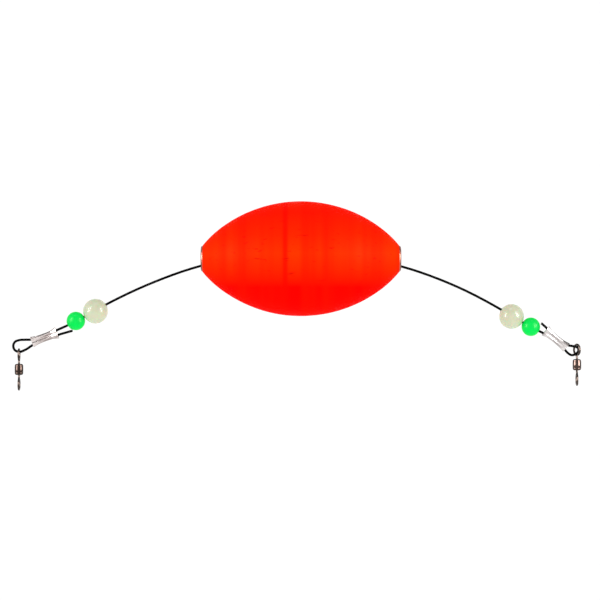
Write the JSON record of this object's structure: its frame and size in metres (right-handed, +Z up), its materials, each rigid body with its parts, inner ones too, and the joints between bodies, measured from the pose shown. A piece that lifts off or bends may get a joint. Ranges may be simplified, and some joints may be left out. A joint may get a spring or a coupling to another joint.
{
  "type": "bobber float",
  "caption": "Oval foam bobber float sliding on a black wire leader, with a glow bead, a bumper bead, a crimped loop and a barrel swivel at each end.",
  "frame": {"origin": "middle of the float, on its long axis", "axes": "+X along the float towards the right swivel, +Z up, -Y towards the viewer"},
  "size_m": [0.1834, 0.037, 0.061],
  "materials": {
    "orange_foam": "satin",
    "tube_plastic": "satin",
    "eyelet_brass": "satin",
    "wire_coat": "satin",
    "sleeve_metal": "satin",
    "glow_plastic": "gloss",
    "green_plastic": "gloss",
    "eye_metal": "polished",
    "barrel_metal": "polished"
  },
  "bodies": {
    "float": {"float_body": "orange_foam", "centre_tube": "tube_plastic", "eyelet_left": "eyelet_brass", "eyelet_right": "eyelet_brass"},
    "leader": {"leader_wire": "wire_coat", "crimp_sleeve_left": "sleeve_metal", "crimp_sleeve_right": "sleeve_metal"},
    "glow_bead_left": {"glow_bead_left": "glow_plastic"},
    "green_bead_left": {"green_bead_left": "green_plastic"},
    "glow_bead_right": {"glow_bead_right": "glow_plastic"},
    "green_bead_right": {"green_bead_right": "green_plastic"},
    "swivel_left_loop_eye": {"swivel_left_loop_eye": "eye_metal"},
    "swivel_left_barrel": {"swivel_left_barrel": "barrel_metal"},
    "swivel_left_line_eye": {"swivel_left_line_eye": "eye_metal"},
    "swivel_right_loop_eye": {"swivel_right_loop_eye": "eye_metal"},
    "swivel_right_barrel": {"swivel_right_barrel": "barrel_metal"},
    "swivel_right_line_eye": {"swivel_right_line_eye": "eye_metal"}
  },
  "joints": [
    {"name": "leader_slide", "type": "hinge", "parent": "float", "child": "leader", "pos_m": [-0.0004, 0, -0.1225], "axis": [0, -1, 0], "range_deg": [-14.9, 15.9]},
    {"name": "green_bead_left_slide", "type": "hinge", "parent": "leader", "child": "green_bead_left", "pos_m": [0.017, 0, -0.165], "axis": [0, 1, 0], "range_deg": [0, 5.4]},
    {"name": "glow_bead_left_slide", "type": "hinge", "parent": "green_bead_left", "child": "glow_bead_left", "pos_m": [0.017, 0, -0.165], "axis": [0, 1, 0], "range_deg": [0, 5.4]},
    {"name": "green_bead_right_slide", "type": "hinge", "parent": "leader", "child": "green_bead_right", "pos_m": [-0.016, 0, -0.1575], "axis": [0, 1, 0], "range_deg": [-5.9, 0]},
    {"name": "glow_bead_right_slide", "type": "hinge", "parent": "green_bead_right", "child": "glow_bead_right", "pos_m": [-0.016, 0, -0.1575], "axis": [0, 1, 0], "range_deg": [-5.9, 0]},
    {"name": "swivel_left_swing", "type": "hinge", "parent": "leader", "child": "swivel_left_loop_eye", "pos_m": [-0.0908, 0, -0.03], "axis": [1, 0, 0], "range_deg": [-80, 80]},
    {"name": "swivel_left_barrel_spin", "type": "hinge", "parent": "swivel_left_loop_eye", "child": "swivel_left_barrel", "pos_m": [-0.0908, 0, -0.03565], "axis": [0, 0, 1], "continuous": true},
    {"name": "swivel_left_line_eye_spin", "type": "hinge", "parent": "swivel_left_barrel", "child": "swivel_left_line_eye", "pos_m": [-0.0908, 0, -0.03565], "axis": [0, 0, 1], "continuous": true},
    {"name": "swivel_right_swing", "type": "hinge", "parent": "leader", "child": "swivel_right_loop_eye", "pos_m": [0.0889, 0.0002, -0.0285], "axis": [0.8829, 0.4695, 0], "range_deg": [-80, 3]},
    {"name": "swivel_right_barrel_spin", "type": "hinge", "parent": "swivel_right_loop_eye", "child": "swivel_right_barrel", "pos_m": [0.0889, 0.0002, -0.03415], "axis": [0, 0, 1], "continuous": true},
    {"name": "swivel_right_line_eye_spin", "type": "hinge", "parent": "swivel_right_barrel", "child": "swivel_right_line_eye", "pos_m": [0.0889, 0.0002, -0.03415], "axis": [0, 0, 1], "continuous": true}
  ]
}
